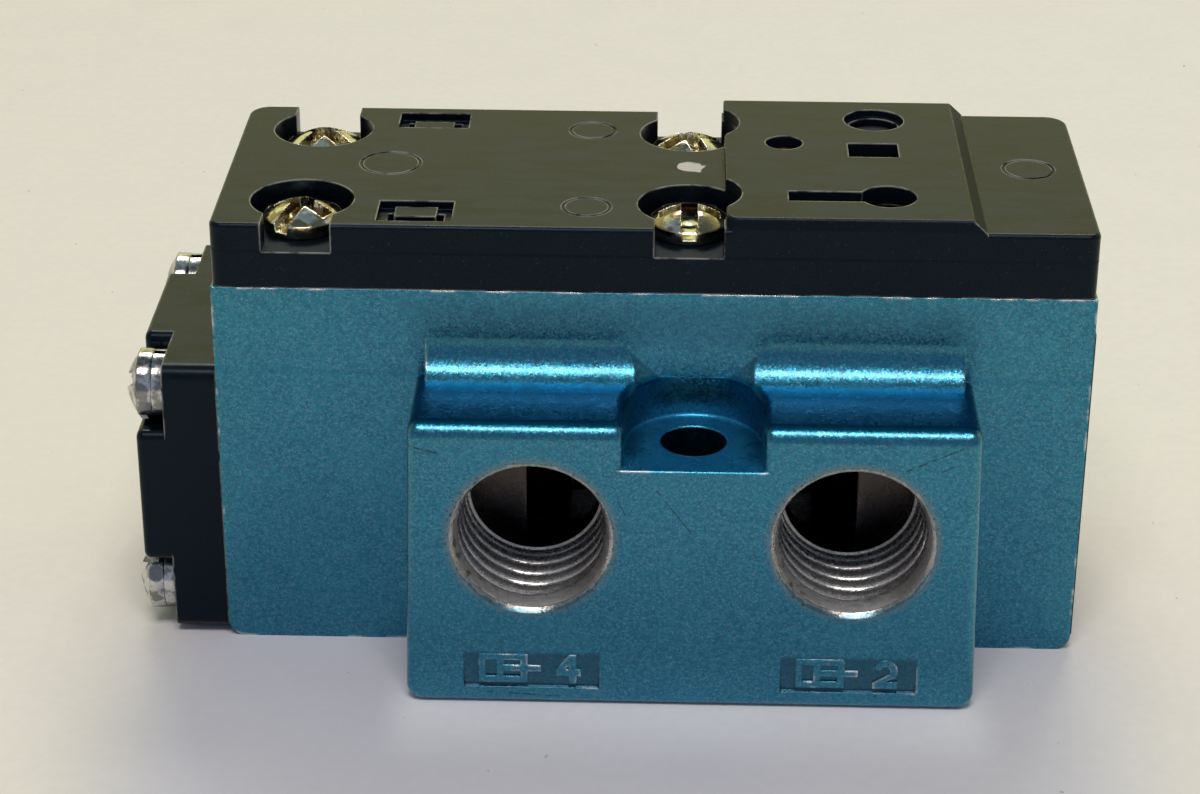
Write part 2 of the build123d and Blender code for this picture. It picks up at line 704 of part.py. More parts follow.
with BuildPart() as coil_bobbin:
    rod_x(4.35, *coil_ends, z=coil_z)
    rod_x(6.4, coil_ends[0], coil_ends[0] + flange_thickness, z=coil_z)
    rod_x(6.4, coil_ends[1] - flange_thickness, coil_ends[1], z=coil_z)
    rod_x(tube_radius + 0.02, coil_ends[0] - 1, coil_ends[1] + 1, z=coil_z, mode=cut)
save(coil_bobbin, "coil_bobbin")

winding_x = (coil_ends[0] + flange_thickness + 0.03, coil_ends[1] - flange_thickness - 0.03)
with BuildPart() as coil_winding:
    rod_x(6.3, *winding_x, z=coil_z)
    fillet(coil_winding.edges().filter_by(GeomType.CIRCLE), 0.3)
    rod_x(4.37, winding_x[0] - 1, winding_x[1] + 1, z=coil_z, mode=cut)
save(coil_winding, "coil_winding")

frame_x = (-24.7, -3.0)
frame_thickness = 1.4
frame_z = (26.2, 37.6)
with BuildPart() as coil_frame:
    block(frame_x, (-7.0, 8.6), frame_z)
    fillet(coil_frame.edges().filter_by(Axis.Z).group_by(Axis.Y)[-1], 1.2)
    inner_x = (frame_x[0] + frame_thickness, frame_x[1] - frame_thickness)
    block(inner_x, (-8.0, 7.2), (frame_z[0] - 1, frame_z[1] + 1), cut)
    rod_x(tube_radius + 0.05, inner_x[1] - 1, frame_x[1] + 1, z=coil_z, mode=cut)
    rod_x(1.55, frame_x[0] - 1, inner_x[0] + 1, z=coil_z, mode=cut)
save(coil_frame, "coil_frame")

with BuildPart() as core_tube:
    rod_x(tube_radius, coil_ends[0], 4.6, z=coil_z)
    rod_x(tube_bore_radius, coil_ends[0] - 1, 5.6, z=coil_z, mode=cut)
save(core_tube, "core_tube")

with BuildPart() as fixed_core:
    rod_x(tube_bore_radius - 0.02, coil_ends[0], core_face_x, z=coil_z)
    rod_x(1.5, frame_x[0] - 0.05, coil_ends[0], z=coil_z)
    rod_x(2.3, frame_x[0] - 0.5, frame_x[0] - 0.03, z=coil_z)
save(fixed_core, "fixed_core")

with BuildPart() as armature:
    rod_x(armature_radius, *armature_x, z=coil_z)
    chamfer(armature.edges().filter_by(GeomType.CIRCLE), 0.3)
    rod_x(1.7, armature_x[0] - 1, armature_x[0] + 6, z=coil_z, mode=cut)
    rod_x(1.92, armature_x[1] - 1, armature_x[1] + 1, z=coil_z, mode=cut)
save(armature, "armature")

with BuildPart() as armature_seal:
    rod_x(1.9, armature_x[1] - 0.99, seat_face_x - 0.02, z=coil_z)
save(armature_seal, "armature_seal")

with BuildPart() as armature_spring:
    armature_coil = coil_spring(1.25, 0.2, armature_x[0] + 5.95 - core_face_x, 9)
    add(armature_coil.moved(on_coil_axis(core_face_x + 0.02)))
save(armature_spring, "armature_spring")

# --- Pilot valve and manual override ----------------------------------------------------
nozzle_end_x = 12.0
nozzle_radius = 2.4
channel_x = 12.6
button_radius = 2.22
stem_radius = 1.3
stem_low_z = 26.8
ear_z = (35.3, 36.35)
override_floor_z = 30.5
board_peg_x = (11.0, 29.5)
board_peg_y = -7.0

with BuildPart() as pilot_gasket:
    with BuildSketch(Plane.XY.offset(pocket_floor_z)):
        with Locations((sum(pilot_pocket) / 2, 0)):
            RectangleRounded(pilot_pocket[1] - pilot_pocket[0] - 0.6, 23.8, 2.0)
        with Locations((6, 0)):
            Rectangle(8, 8.8)
        with Locations((feed_hole_x, 0)):
            Circle(0.8, mode=cut)
    extrude(amount=0.38)
save(pilot_gasket, "pilot_gasket")

with BuildPart() as pilot_nozzle:
    rod_x(1.1, seat_face_x, seat_face_x + 1, z=coil_z)
    rod_x(nozzle_radius, seat_face_x + 0.5, nozzle_end_x, z=coil_z)
    rod_x(0.4, seat_face_x - 1, nozzle_end_x + 1, z=coil_z, mode=cut)
save(pilot_nozzle, "pilot_nozzle")

with BuildPart() as pilot_housing:
    with BuildSketch(Plane.XY.offset(pocket_floor_z + 0.4)):
        with Locations(((pilot_pocket[0] + pilot_pocket[1]) / 2, 0)):
            RectangleRounded(24.8, 23.8, 2.0)
        with Locations((6, 0)):
            Rectangle(8, 8.8)
    extrude(amount=pilot_top_z - pocket_floor_z - 0.4)
    # Armature chamber, nozzle seat and output channel
    rod_x(tube_radius + 0.02, 1.0, 4.6, z=coil_z, mode=cut)
    rod_x(tube_bore_radius, 4.0, seat_face_x + 0.5, z=coil_z, mode=cut)
    rod_x(nozzle_radius + 0.02, seat_face_x, nozzle_end_x, z=coil_z, mode=cut)
    rod_x(0.8, nozzle_end_x - 0.5, channel_x, z=coil_z, mode=cut)
    rod_z(0.8, channel_z, coil_z, channel_x, 0, cut)
    rod_x(0.8, channel_x, pilot_pocket[1], z=channel_z, mode=cut)
    rod_z(0.7, pocket_floor_z, coil_z - 2, feed_hole_x, 0, cut)
    # Manual override bore, its spring pocket and the passage it opens
    rod_z(stem_radius + 0.04, pocket_floor_z, override_floor_z + 1, override_x, override_y, cut)
    block(
        (override_x - 3.3, override_x + 3.3),
        (override_y - 2.3, override_y + 2.3),
        (override_floor_z, pilot_top_z + 1),
        cut,
    )
    rod_y(0.6, 0, override_y, override_x, channel_z, cut)
    # Pegs that locate the circuit board
    for peg_x in board_peg_x:
        rod_z(0.8, pilot_top_z, pilot_top_z + 1.6, peg_x, board_peg_y)
save(pilot_housing, "pilot_housing")

with BuildPart() as override_button:
    rod_z(button_radius, ear_z[1] - 0.5, 40.9, override_x, override_y)
    fillet(override_button.edges().group_by(Axis.Z)[-1], 0.3)
    block(
        (override_x - 3.2, override_x + 3.2),
        (override_y - 2.2, override_y + 2.2),
        ear_z,
    )
    rod_z(stem_radius, stem_low_z, ear_z[0], override_x, override_y)
    with BuildSketch(Plane.XY.offset(stem_low_z + 0.6)):
        with Locations((override_x, override_y)):
            Circle(stem_radius + 1)
            Circle(0.8, mode=cut)
    extrude(amount=0.8, mode=cut)
save(override_button, "override_button")

with BuildPart() as override_o_ring:
    stem_ring = seal_ring(stem_radius + 0.03, 0.82, 0.7, 0.15)
    add(stem_ring.moved(Location((override_x, override_y, stem_low_z + 1.0))))
save(override_o_ring, "override_o_ring")

with BuildPart() as override_spring:
    button_coil = coil_spring(1.85, 0.25, ear_z[0] - override_floor_z - 0.05, 5)
    add(button_coil.moved(Location((override_x, override_y, override_floor_z + 0.02))))
save(override_spring, "override_spring")

# --- Electrical parts -------------------------------------------------------------------
board_x = (9.5, 31.0)
board_y = (-9.0, 5.6)
board_low_z = pilot_top_z + 0.02
board_top_z = board_low_z + 1.0
pin_x = (18.4, 20.9)
pin_y = 1.9
pin_width = 0.64

with BuildPart() as circuit_board:
    block(board_x, board_y, (board_low_z, board_top_z))
    for peg_x in board_peg_x:
        rod_z(0.85, board_low_z - 1, board_top_z + 1, peg_x, board_peg_y, cut)
save(circuit_board, "circuit_board")

with BuildPart() as indicator_lens:
    rod_z(1.9, board_top_z, board_top_z + 0.9, lens_x, lens_y)
    rod_z(1.5, board_top_z, 41.5, lens_x, lens_y)
    fillet(indicator_lens.edges().group_by(Axis.Z)[-1], 1.2)
save(indicator_lens, "indicator_lens")

with BuildPart() as pin_header:
    block((17.6, 21.7), (0.6, 3.2), (board_top_z, board_top_z + 1.0))
    for x in pin_x:
        with Locations((x, pin_y, board_top_z)):
            Box(pin_width + 0.04, pin_width + 0.04, 4, mode=cut)
save(pin_header, "pin_header")

with BuildPart() as contact_pins:
    for x in pin_x:
        with Locations((x, pin_y, board_top_z)):
            Box(pin_width, pin_width, 3.4, align=(Align.CENTER, Align.CENTER, Align.MIN))
    chamfer(contact_pins.edges().group_by(Axis.Z)[-1], 0.15)
save(contact_pins, "contact_pins")

diode_z = board_top_z + 0.83
with BuildPart() as suppression_diode:
    rod_x(0.8, 24.5, 28.5, -5.0, diode_z)
    rod_x(0.25, 23.6, 29.4, -5.0, diode_z)
    for x in (23.6, 29.4):
        rod_z(0.25, board_top_z, diode_z + 0.2, x, -5.0)
save(suppression_diode, "suppression_diode")

lead_z = 38.45
lead_radius = 0.3
with BuildPart() as coil_leads:
    for y in (-3.4, -2.0):
        with BuildLine():
            run = FilletPolyline(
                (-7, y, lead_z),
                (8.5, y, lead_z),
                (11.5, y, board_top_z + lead_radius + 0.03),
                radius=2,
            )
        with BuildSketch(Plane(origin=run @ 0, z_dir=run % 0)):
            Circle(lead_radius)
        sweep(path=run)
save(coil_leads, "coil_leads")

# --- Face seals round the bottom ports --------------------------------------------------
with BuildPart() as base_seals:
    for offset in (-exhaust_offset, 0, exhaust_offset):
        face_seal = seal_ring(4.95, 3.3, 0.96, 0.3)
        add(face_seal.moved(Location((valve_centre_x + offset, 0, 0.5))))
save(base_seals, "base_seals")
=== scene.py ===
import json
import math

import bpy
import bmesh
import numpy as np
from mathutils import Matrix, Vector


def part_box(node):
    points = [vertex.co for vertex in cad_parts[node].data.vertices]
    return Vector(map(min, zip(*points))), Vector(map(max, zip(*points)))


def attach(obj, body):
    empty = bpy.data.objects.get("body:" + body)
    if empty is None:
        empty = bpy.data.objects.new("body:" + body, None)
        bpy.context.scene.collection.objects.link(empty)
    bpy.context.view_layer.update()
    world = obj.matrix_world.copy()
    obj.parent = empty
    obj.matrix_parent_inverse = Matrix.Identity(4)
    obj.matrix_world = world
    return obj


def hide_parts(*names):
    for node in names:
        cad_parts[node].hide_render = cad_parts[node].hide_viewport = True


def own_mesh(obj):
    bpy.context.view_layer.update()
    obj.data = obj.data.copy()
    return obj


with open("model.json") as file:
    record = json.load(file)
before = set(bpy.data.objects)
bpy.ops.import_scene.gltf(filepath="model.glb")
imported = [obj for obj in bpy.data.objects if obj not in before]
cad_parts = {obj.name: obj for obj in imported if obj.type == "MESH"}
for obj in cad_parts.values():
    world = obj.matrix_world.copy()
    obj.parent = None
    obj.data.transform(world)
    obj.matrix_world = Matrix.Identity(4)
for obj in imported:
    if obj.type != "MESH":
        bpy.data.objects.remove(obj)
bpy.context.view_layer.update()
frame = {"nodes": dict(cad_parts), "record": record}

# Looks of a solenoid spool valve: painted casting, black plastic covers, plated screws, cut threads.
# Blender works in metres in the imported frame: +X along the spool, -Y towards the ports, +Z up.
MM = 0.001
FULL_TURN = 2 * math.pi
ROOT = "valve"

mounts = {mount["name"]: mount for mount in frame["record"]["mounts"]}
port_places = {name: Vector(mounts[name]["pos_m"]) for name in ("port_a", "port_b")}
port_radius = mounts["port_a"]["dims"]["r_mm"] * MM
boss_centre_x = (port_places["port_a"].x + port_places["port_b"].x) / 2

body_low, body_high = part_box("valve_body")
body_side_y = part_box("pilot_cover")[1].y  # the cover and the casting's sides are flush
boss_front_y = body_low.y

# Levels on the valve, in millimetres
boss_top = 27.0
hole_ledge = 23.0
screw_ledge = 38.4
cover_top = 41.0
block_top = 42.2

boss_lean = 0.88 / boss_top  # the boss's front face leans back as it rises
pocket_radius = 6.0  # the pocket round the mounting hole, in millimetres
bevel_radius = 6.46 * MM  # a port's thread starts here, at the foot of its bevel
thread_taper = 1 / 32


def face_y(z):
    """Where the boss's leaning front face is at height z."""
    return boss_front_y + boss_lean * z


# --- Node materials -----------------------------------------------------------------------


class Finish:
    """A node material with one principled shader, written in words."""

    def __init__(self, name):
        self.material = bpy.data.materials.new(name)
        self.material.use_nodes = True
        self.tree = self.material.node_tree
        self.tree.nodes.clear()
        self.shader = self.node("ShaderNodeBsdfPrincipled")
        output = self.node("ShaderNodeOutputMaterial")
        self.tree.links.new(self.shader.outputs[0], output.inputs[0])
        self.place = self.node("ShaderNodeTexCoord").outputs["Object"]

    def node(self, kind, **settings):
        made = self.tree.nodes.new(kind)
        for key, value in settings.items():
            setattr(made, key, value)
        return made

    def feed(self, socket, value):
        """Links a socket to another node's output, or sets its plain value."""
        if isinstance(value, bpy.types.NodeSocket):
            self.tree.links.new(value, socket)
        elif socket.type == "RGBA":
            socket.default_value = (*value, 1.0)
        else:
            socket.default_value = value

    def set(self, **inputs):
        for name, value in inputs.items():
            self.feed(self.shader.inputs[name.replace("_", " ")], value)

    def math(self, operation, a, b=0.0):
        made = self.node("ShaderNodeMath", operation=operation)
        self.feed(made.inputs[0], a)
        self.feed(made.inputs[1], b)
        return made.outputs[0]

    def vector(self, operation, a, b=(0, 0, 0)):
        made = self.node("ShaderNodeVectorMath", operation=operation)
        self.feed(made.inputs[0], a)
        self.feed(made.inputs[1], b)
        name = "Value" if operation in ("DOT_PRODUCT", "DISTANCE") else "Vector"
        return made.outputs[name]

    def product(self, *shares):
        """All the shares multiplied together."""
        result = shares[0]
        for share in shares[1:]:
            result = self.math("MULTIPLY", result, share)
        return result

    def gap(self, value, middle):
        """How far a value is from a middle one, to either side."""
        return self.math("ABSOLUTE", self.math("SUBTRACT", value, middle))

    def split(self, kind, value):
        """The parts of a vector or a colour."""
        made = self.node(kind)
        self.feed(made.inputs[0], value)
        return made.outputs

    def axes(self):
        """The x, y and z of the place being shaded."""
        return self.split("ShaderNodeSeparateXYZ", self.place)

    def noise(self, size, detail=2.0, stretch=(1, 1, 1), shift=0.0):
        """Soft noise from 0 to 1 with blobs about size wide, in metres."""
        moved = self.node("ShaderNodeMapping")
        self.feed(moved.inputs["Vector"], self.place)
        moved.inputs["Scale"].default_value = stretch
        moved.inputs["Location"].default_value = (shift, shift, shift)
        made = self.node("ShaderNodeTexNoise")
        self.feed(made.inputs["Vector"], moved.outputs[0])
        made.inputs["Scale"].default_value = 1 / size
        made.inputs["Detail"].default_value = detail
        return made.outputs["Fac"]

    def cells(self, size):
        """A random colour per cell, with cells about size wide."""
        made = self.node("ShaderNodeTexVoronoi")
        self.feed(made.inputs["Vector"], self.place)
        made.inputs["Scale"].default_value = 1 / size
        return made.outputs["Color"]

    def ramp(self, value, low, high, start=0.0, end=1.0):
        """Start below low, end above high, and a smooth step between."""
        made = self.node("ShaderNodeMapRange", interpolation_type="SMOOTHSTEP")
        for index, number in enumerate((value, low, high, start, end)):
            self.feed(made.inputs[index], number)
        return made.outputs[0]

    def ramp_mm(self, value, low, high, start=0.0, end=1.0):
        """A ramp over a length, with the ends of its step in millimetres."""
        return self.ramp(value, low * MM, high * MM, start, end)

    def band(self, value, rise, fall):
        """1 between two smooth steps, each given by its ends in millimetres, and 0 outside them."""
        return self.product(self.ramp_mm(value, *rise), self.ramp_mm(value, *fall))

    def mix(self, share, a, b):
        """Colour a where share is 0, and b where it is 1."""
        made = self.node("ShaderNodeMix", data_type="RGBA")
        self.feed(made.inputs[0], share)
        self.feed(made.inputs[6], a)
        self.feed(made.inputs[7], b)
        return made.outputs[2]

    def bump(self, height, depth, normal=None):
        """A normal tilted by a height from 0 to 1 that stands for depth metres."""
        made = self.node("ShaderNodeBump")
        made.inputs["Distance"].default_value = depth
        self.feed(made.inputs["Height"], height)
        if normal is not None:
            self.feed(made.inputs["Normal"], normal)
        return made.outputs[0]

    def soft_edges(self, radius):
        """The normal, rounded over sharp edges."""
        made = self.node("ShaderNodeBevel", samples=6)
        made.inputs["Radius"].default_value = radius
        return made.outputs[0]

    def outer_edges(self, reach):
        """1 on outside corners and edges, falling to 0 at about reach away."""
        made = self.node("ShaderNodeAmbientOcclusion", samples=6, inside=True, only_local=True)
        made.inputs["Distance"].default_value = reach
        return self.ramp(made.outputs["AO"], 0.85, 0.55)

    def crevices(self, reach):
        """1 in corners and recesses, falling to 0 on open surfaces."""
        made = self.node("ShaderNodeAmbientOcclusion", samples=6)
        made.inputs["Distance"].default_value = reach
        return self.ramp(made.outputs["AO"], 0.75, 0.25)

    def near_line(self, start, end, width):
        """1 along a straight line between two points in the XZ plane, 0 beyond its width."""
        flat = self.vector("MULTIPLY", self.place, (1, 0, 1))
        a, b = Vector((start[0], 0, start[1])), Vector((end[0], 0, end[1]))
        along = (b - a).normalized()
        offset = self.vector("SUBTRACT", flat, tuple(a))
        run = self.vector("DOT_PRODUCT", offset, tuple(along))
        held = self.math("MINIMUM", self.math("MAXIMUM", run, 0.0), (b - a).length)
        scaled = self.node("ShaderNodeVectorMath", operation="SCALE")
        scaled.inputs[0].default_value = along
        self.feed(scaled.inputs["Scale"], held)
        gap = self.vector("DISTANCE", offset, scaled.outputs[0])
        return self.ramp(gap, 0.4 * width, width, 1.0, 0.0)


def port_gap(f):
    """How far a shaded point is from the axis of the nearer port."""
    flat = f.vector("MULTIPLY", f.place, (1, 0, 1))
    gaps = [f.vector("DISTANCE", flat, (place.x, 0, place.z)) for place in port_places.values()]
    return f.math("MINIMUM", *gaps)


def beside_port(f, offset):
    """How far in X a shaded point is from a place offset millimetres to the right of a port's axis."""
    x = f.axes()[0]
    gaps = [f.gap(x, place.x + offset * MM) for place in port_places.values()]
    return f.math("MINIMUM", *gaps)


def inside_casting(f):
    """1 on the unpainted walls inside the casting, 0 on its outside."""
    shares = []
    limits = ((body_low.x, body_high.x, 0.4), (-body_side_y, body_side_y, 0.9), (0, body_high.z, 0.4))
    for axis, (low, high, skin_depth) in zip(f.axes(), limits):
        edge = (high - low) / 2 - skin_depth * MM
        shares.append(f.ramp(f.gap(axis, (low + high) / 2), edge, edge + 0.1 * MM, 1.0, 0.0))
    return f.product(*shares)


def flaked_paint(f):
    """Fine teal mottling over slow cloudy drifts, with single bright flakes."""
    mottle = f.noise(0.34 * MM, 3, (1, 1, 1.25))
    clouds = f.noise(7 * MM, 2, shift=0.3)
    sparkle = f.split("ShaderNodeSeparateColor", f.cells(0.12 * MM))[0]
    colour = f.mix(f.ramp(mottle, 0.3, 0.7), (0.010, 0.142, 0.240), (0.026, 0.225, 0.345))
    colour = f.mix(f.ramp(clouds, 0.35, 0.7, 0.0, 0.22), colour, (0.03, 0.25, 0.35))
    return f.mix(f.ramp(sparkle, 0.82, 0.86, 0.0, 0.25), colour, (0.25, 0.42, 0.48))


def boss_painted_shade_and_light(f, colour, from_centre, on_top):
    """Painted shade above the boss and on its top, and painted light on the mounting hole's ledge."""
    _, y, z = f.axes()
    shade_above = f.band(z, (29.0, 31.0), (35.0, 33.0))
    shade_above = f.product(shade_above, f.ramp_mm(from_centre, 27, 22, 0.0, 0.35), f.ramp_mm(y, 0, -10))
    colour = f.mix(shade_above, colour, (0.005, 0.08, 0.15))
    colour = f.mix(f.product(on_top, 0.9), colour, (0.0015, 0.13, 0.26))
    ledge = f.band(z, (hole_ledge - 0.15, hole_ledge - 0.05), (hole_ledge + 0.3, hole_ledge + 0.05))
    ledge = f.product(ledge, f.ramp_mm(from_centre, pocket_radius + 0.3, pocket_radius + 0.1))
    return f.mix(f.product(ledge, 0.9), colour, (0.09, 0.58, 0.85))


def front_marks(f, specks):
    """Hairline scratches, dirt in the top left corner, and specks round the ports."""
    x, y, z = f.axes()
    # Each scratch has two ends, as x and z, and a width, in millimetres
    scratches = (
        ((0.6, 21.2), (4.7, 15.8), 0.07),
        ((-2.9, 20.6), (-2.0, 18.8), 0.06),
        ((21.9, 23.4), (26.6, 25.6), 0.10),
        ((24.4, 23.1), (25.9, 23.9), 0.07),
        ((-14.7, 1.25), (-7.7, 0.85), 0.08),
        ((19.6, 0.9), (20.2, 1.5), 0.12),
        ((-20.6, 25.0), (-18.1, 24.4), 0.12),
    )
    marks = 0.0
    for (x0, z0), (x1, z1), width in scratches:
        line = f.near_line((x0 * MM, z0 * MM), (x1 * MM, z1 * MM), width * MM)
        marks = f.math("MAXIMUM", marks, line)
    marks = f.product(marks, f.ramp(f.noise(0.6 * MM, 3), 0.38, 0.55))
    dust = f.ramp(f.noise(0.5 * MM, 4, shift=4.2), 0.66, 0.72)
    corner = f.product(f.ramp_mm(x, -17, -20.5), f.ramp_mm(z, 23, 25.5))
    dust = f.product(dust, f.math("ADD", 0.25, corner))
    marks = f.product(f.math("MAXIMUM", marks, dust), f.ramp_mm(y, -24.2, -24.6))
    return f.math("MAXIMUM", marks, f.product(specks, 0.9))


def mouth_metal(f):
    """Bare grey metal round a port's mouth, with painted shade darkening it further in."""
    y = f.axes()[1]
    metal = f.mix(f.noise(0.4 * MM, 3, shift=2), (0.20, 0.20, 0.19), (0.52, 0.51, 0.48))
    return f.mix(f.ramp_mm(y, -24.3, -22.5), metal, (0.035, 0.034, 0.034))


def cast_metal_and_shade(f, from_centre):
    """Grey-brown walls inside the casting, with painted shade darker lower down, and a painted shadow,
    black, on the mounting hole's side.
    """
    z = f.axes()[2]
    shadow_edge = 14.8
    metal = f.mix(f.ramp_mm(z, 17, 12, 0.0, 0.9), (0.085, 0.072, 0.062), (0.006, 0.008, 0.013))
    dark = f.product(f.ramp_mm(from_centre, shadow_edge + 0.06, shadow_edge), f.ramp_mm(z, 9.0, 9.4))
    return f.mix(dark, metal, (0.0008, 0.0008, 0.001))


def window_grime_and_shade(f, from_centre, amount):
    """Grime over the sunken label windows, and painted shade in their corners and round the marks."""
    _, y, z = f.axes()
    aside = f.gap(from_centre, port_places["port_b"].x - boss_centre_x)
    window = f.band(z, (1.60, 1.75), (5.4, 4.9))
    window = f.product(window, f.ramp_mm(aside, 6.05, 5.95), f.ramp_mm(y, -24.6, -24.8))
    # Painted shade in the corners and round the marks
    corner = f.product(f.crevices(0.5 * MM), 0.5)
    return f.product(window, f.math("ADD", f.product(corner, amount), amount))


def paint_finish(name, grime):
    """Metallic teal paint with a hammered skin, worn on edges, and bare metal in the ports."""
    f = Finish(name)
    x, y, z = f.axes()
    from_centre = f.gap(x, boss_centre_x)
    on_top = f.band(z, (boss_top - 0.4, boss_top - 0.15), (boss_top + 0.6, boss_top + 0.1))
    on_top = f.product(on_top, f.ramp(y, -body_side_y + 0.1 * MM, -body_side_y - 0.2 * MM))
    # Painted shade above the boss and on its top, and painted light on the hole's ledge
    colour = boss_painted_shade_and_light(f, flaked_paint(f), from_centre, on_top)
    # Thin paint with dark specks stands round each port, and the metal is bare at its mouth
    ragged = f.math("ADD", port_gap(f), f.product(f.noise(0.7 * MM, 3), 0.5 * MM))
    in_front = f.ramp_mm(y, -12, -13)
    halo = f.product(f.ramp_mm(ragged, 8.15, 7.5), in_front)
    specks = f.product(f.ramp(f.noise(0.28 * MM, 2, shift=1.7), 0.60, 0.66), halo)
    bare = f.product(f.ramp_mm(ragged, 7.40, 7.32), in_front)
    colour = f.mix(f.product(halo, 0.55), colour, (0.16, 0.21, 0.22))
    colour = f.mix(f.product(front_marks(f, specks), 0.85), colour, (0.012, 0.03, 0.045))
    wear = f.product(f.outer_edges(0.35 * MM), f.ramp(f.noise(2.6 * MM, 3), 0.5, 0.62))
    colour = f.mix(f.product(wear, 0.9), colour, (0.75, 0.80, 0.80))
    inside = inside_casting(f)
    # Bare metal in the ports and grey-brown metal inside the casting, both with painted shade further in,
    # then grime and painted shade in the label windows
    colour = f.mix(bare, colour, mouth_metal(f))
    colour = f.mix(inside, colour, cast_metal_and_shade(f, from_centre))
    colour = f.mix(window_grime_and_shade(f, from_centre, grime), colour, (0.004, 0.035, 0.065))
    # Flakes tilt the normal at random, over a fine grain and a soft orange peel
    peel = f.bump(f.noise(0.55 * MM, 2), 0.016 * MM, f.soft_edges(0.3 * MM))
    grain = f.bump(f.noise(0.2 * MM, 2, shift=3), 0.005 * MM, peel)
    tilt = f.vector("SUBTRACT", f.cells(0.13 * MM), (0.5, 0.5, 0.5))
    tilt = f.vector("MULTIPLY", tilt, (0.12, 0.12, 0.12))
    flakes = f.vector("NORMALIZE", f.vector("ADD", grain, tilt))
    rough = f.ramp(f.noise(1.2 * MM, 3, shift=5), 0.3, 0.7, 0.25, 0.33)
    f.set(Base_Color=colour, Metallic=1.0, Roughness=rough, Normal=flakes)
    painted = f.math("SUBTRACT", 1.0, f.math("MAXIMUM", bare, inside))
    clear = f.product(painted, f.ramp(on_top, 0.0, 1.0, 0.6, 0.05))
    f.set(Coat_Weight=clear, Coat_Roughness=0.2, Coat_Normal=peel)
    return f.material


def cover_marks(f, shade, rough):
    """Rougher sloped steps and screw ledges, and a smear of white paint between two screws."""
    _, y, z = f.axes()
    step = f.band(z, (cover_top + 0.05, cover_top + 0.15), (block_top - 0.05, block_top - 0.15))
    ledge = f.band(z, (screw_ledge - 0.15, screw_ledge - 0.05), (screw_ledge + 0.3, screw_ledge + 0.1))
    ledge = f.product(ledge, f.ramp_mm(y, -9, -10))
    rough = f.math("MAXIMUM", rough, f.product(f.math("MAXIMUM", step, ledge), 0.55))
    smear_radius = 2.15
    smear_centre = Vector((3.2, 0.2, cover_top)) * MM
    gap = f.vector("DISTANCE", f.place, tuple(smear_centre))
    gap = f.math("ADD", gap, f.product(f.noise(0.9 * MM, 3, shift=6), 1.6 * MM))
    smear = f.ramp_mm(gap, smear_radius, 0.9 * smear_radius)
    rough = f.math("MAXIMUM", rough, f.product(smear, 0.7))
    return f.mix(smear, shade, (0.50, 0.49, 0.46)), rough


def plastic_finish(name, colour, worn, roughness, marks=None):
    """Moulded plastic with a fine grain, handling marks and pale worn edges."""
    f = Finish(name)
    shade = f.mix(f.noise(3 * MM, 4), colour, tuple(1.35 * c for c in colour))
    dust = f.product(f.ramp(f.noise(0.16 * MM, 2, shift=2), 0.68, 0.74), 0.35)
    shade = f.mix(dust, shade, (0.10, 0.10, 0.09))
    wear = f.product(f.outer_edges(0.22 * MM), f.ramp(f.noise(1.8 * MM, 3), 0.32, 0.58))
    shade = f.mix(f.product(wear, 0.8), shade, worn)
    rough = f.ramp(f.noise(5 * MM, 4, (1, 3, 1), 1.0), 0.3, 0.7, roughness - 0.05, roughness + 0.06)
    if marks is not None:
        shade, rough = marks(f, shade, rough)
    normal = f.bump(f.noise(0.12 * MM, 2), 0.0035 * MM, f.soft_edges(0.22 * MM))
    normal = f.bump(f.noise(2.5 * MM, 2, shift=9), 0.012 * MM, normal)
    f.set(Base_Color=shade, Roughness=rough, Normal=normal)
    f.set(Specular_IOR_Level=0.2, Specular_Tint=(0.55, 0.80, 1.0))
    return f.material


def plated_finish(name, bright, tint, recess_shade, roughness, pits):
    """Plated steel: clean highlights, a drifting tint with painted dark reflections, pits, and painted
    shade in the recesses.
    """
    f = Finish(name)
    # Patches of tint, partly painted reflections of dark surroundings
    tint_and_reflection = f.ramp(f.noise(1.4 * MM, 3), 0.46, 0.56, 0.0, 0.85)
    colour = f.mix(tint_and_reflection, bright, tint)
    spots = f.product(f.ramp(f.noise(0.25 * MM, 3, shift=2), 0.60, 0.68), pits)
    colour = f.mix(spots, colour, (0.06, 0.055, 0.05))
    # Painted shade in the recesses
    colour = f.mix(f.product(f.crevices(0.8 * MM), 0.9), colour, recess_shade)
    rough = f.ramp(f.noise(0.6 * MM, 3, shift=4), 0.3, 0.7, roughness, roughness + 0.12)
    normal = f.bump(f.noise(0.7 * MM, 3, shift=5), 0.03 * MM, f.soft_edges(0.1 * MM))
    f.set(Base_Color=colour, Metallic=1.0, Roughness=rough, Normal=normal)
    return f.material


def machined_finish(name, colour, roughness, stretch=(1, 1, 1)):
    """Turned or ground metal with fine tool lines, which a stretch draws out along an axis."""
    f = Finish(name)
    lines = f.noise(0.08 * MM, 2, stretch)
    shade = f.mix(lines, tuple(0.8 * c for c in colour), colour)
    rough = f.ramp(f.noise(0.7 * MM, 3, shift=1), 0.3, 0.7, roughness, roughness + 0.15)
    normal = f.bump(lines, 0.003 * MM, f.soft_edges(0.1 * MM))
    f.set(Base_Color=shade, Metallic=1.0, Roughness=rough, Normal=normal)
    return f.material


def rubber_finish():
    """Black seal rubber with a dull, slightly dusty skin."""
    f = Finish("rubber_finish")
    shade = f.mix(f.noise(0.5 * MM, 3), (0.010, 0.010, 0.011), (0.022, 0.022, 0.023))
    normal = f.bump(f.noise(0.15 * MM, 2), 0.008 * MM)
    f.set(Base_Color=shade, Roughness=f.ramp(f.noise(2 * MM, 2), 0.3, 0.7, 0.5, 0.7), Normal=normal)
    return f.material


